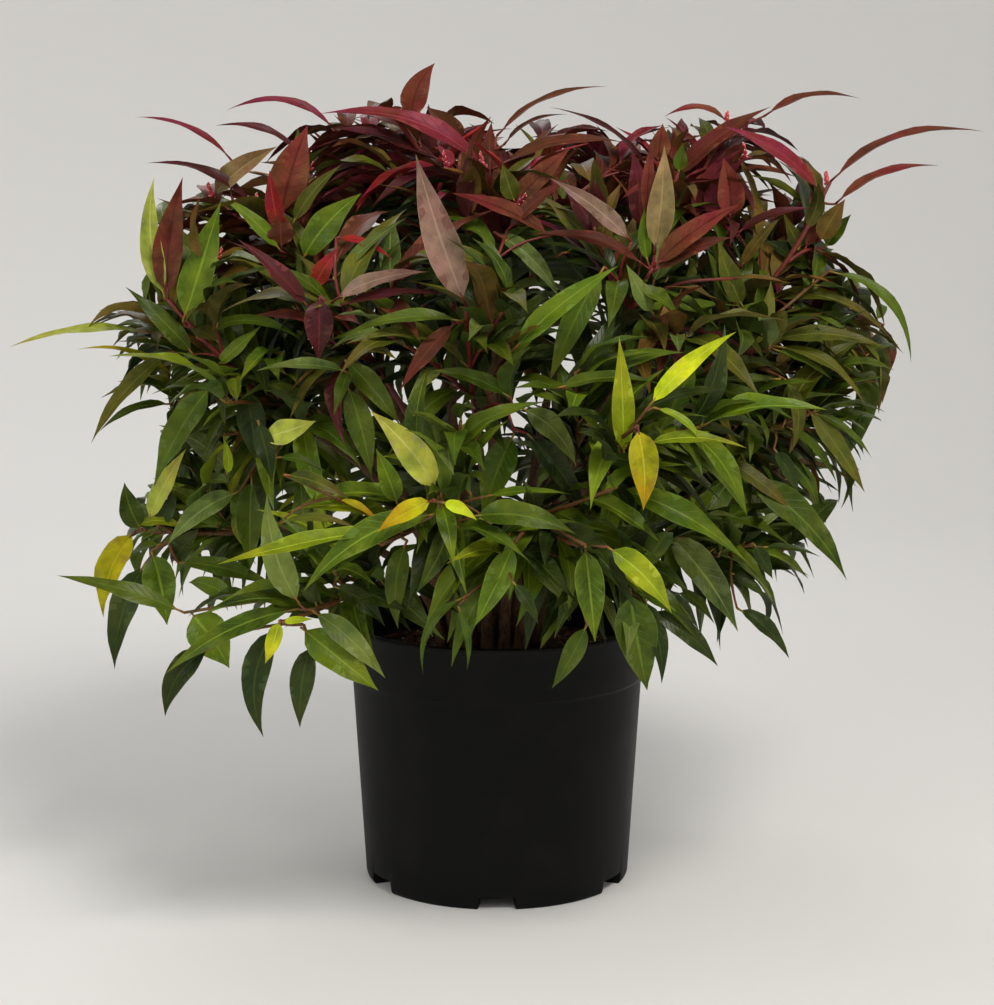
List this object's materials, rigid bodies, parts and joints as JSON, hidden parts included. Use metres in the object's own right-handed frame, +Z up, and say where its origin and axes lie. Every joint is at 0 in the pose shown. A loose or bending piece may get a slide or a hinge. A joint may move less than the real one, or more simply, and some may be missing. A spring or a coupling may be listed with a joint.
{
  "type": "potted leucothoe",
  "caption": "Bushy evergreen shrub with long pointed green and wine-red leaves on arching canes, in a round black plastic nursery pot.",
  "frame": {"origin": "centre of the pot's underside, at the level it stands on", "axes": "+Z up, -Y the front that the picture shows, +X to the right in that view"},
  "size_m": [0.6951, 0.6274, 0.5952],
  "materials": {
    "black_plastic": "matte black moulded plastic",
    "compost": "dark bark compost with pale specks",
    "cane_bark": "brown-green bark, red on young wood",
    "green_leaves": "glossy deep green leaves",
    "olive_leaves": "glossy olive leaves",
    "lime_leaves": "glossy lime and yellow leaves",
    "bronze_leaves": "glossy bronze leaves",
    "wine_leaves": "glossy wine-red leaves"
  },
  "bodies": {
    "root": {"bough_low_back_1": "cane_bark", "bough_low_back_2": "cane_bark", "bough_low_back_3": "cane_bark", "bough_low_back_4": "cane_bark", "bough_low_front": "cane_bark", "bough_low_front_left": "cane_bark", "bough_low_front_right": "cane_bark", "bough_low_left": "cane_bark", "bough_low_right": "cane_bark", "bough_mid_back_1": "cane_bark", "bough_mid_back_2": "cane_bark", "bough_mid_back_3": "cane_bark", "bough_mid_front_left": "cane_bark", "bough_mid_front_right": "cane_bark", "bough_mid_left": "cane_bark", "bough_mid_left_front": "cane_bark", "bough_mid_right": "cane_bark", "bough_mid_right_low": "cane_bark", "bough_right_top": "cane_bark", "bough_top_left": "cane_bark", "bough_top_mid": "cane_bark", "bough_top_right": "cane_bark", "bough_upper_back_1": "cane_bark", "bough_upper_back_2": "cane_bark", "bough_upper_front": "cane_bark", "bough_upper_front_left": "cane_bark", "bough_upper_front_right": "cane_bark", "bough_upper_left": "cane_bark", "bough_upper_left_top": "cane_bark", "compost": "compost", "foliage_low_back_1": "green_leaves", "foliage_low_back_2": "green_leaves", "foliage_low_back_3": "green_leaves", "foliage_low_back_4": "green_leaves", "foliage_low_front": "green_leaves", "foliage_low_front_left": "green_leaves", "foliage_low_front_right": "green_leaves", "foliage_low_left": "lime_leaves", "foliage_low_right": "green_leaves", "foliage_mid_back_1": "green_leaves", "foliage_mid_back_2": "green_leaves", "foliage_mid_back_3": "green_leaves", "foliage_mid_front_left": "lime_leaves", "foliage_mid_front_right": "lime_leaves", "foliage_mid_left": "olive_leaves", "foliage_mid_left_front": "green_leaves", "foliage_mid_right": "olive_leaves", "foliage_mid_right_low": "green_leaves", "foliage_right_top": "bronze_leaves", "foliage_top_left": "wine_leaves", "foliage_top_mid": "wine_leaves", "foliage_top_right": "bronze_leaves", "foliage_upper_back_1": "bronze_leaves", "foliage_upper_back_2": "bronze_leaves", "foliage_upper_front": "green_leaves", "foliage_upper_front_left": "wine_leaves", "foliage_upper_front_right": "bronze_leaves", "foliage_upper_left": "green_leaves", "foliage_upper_left_top": "bronze_leaves", "pot": "black_plastic"}
  },
  "joints": []
}
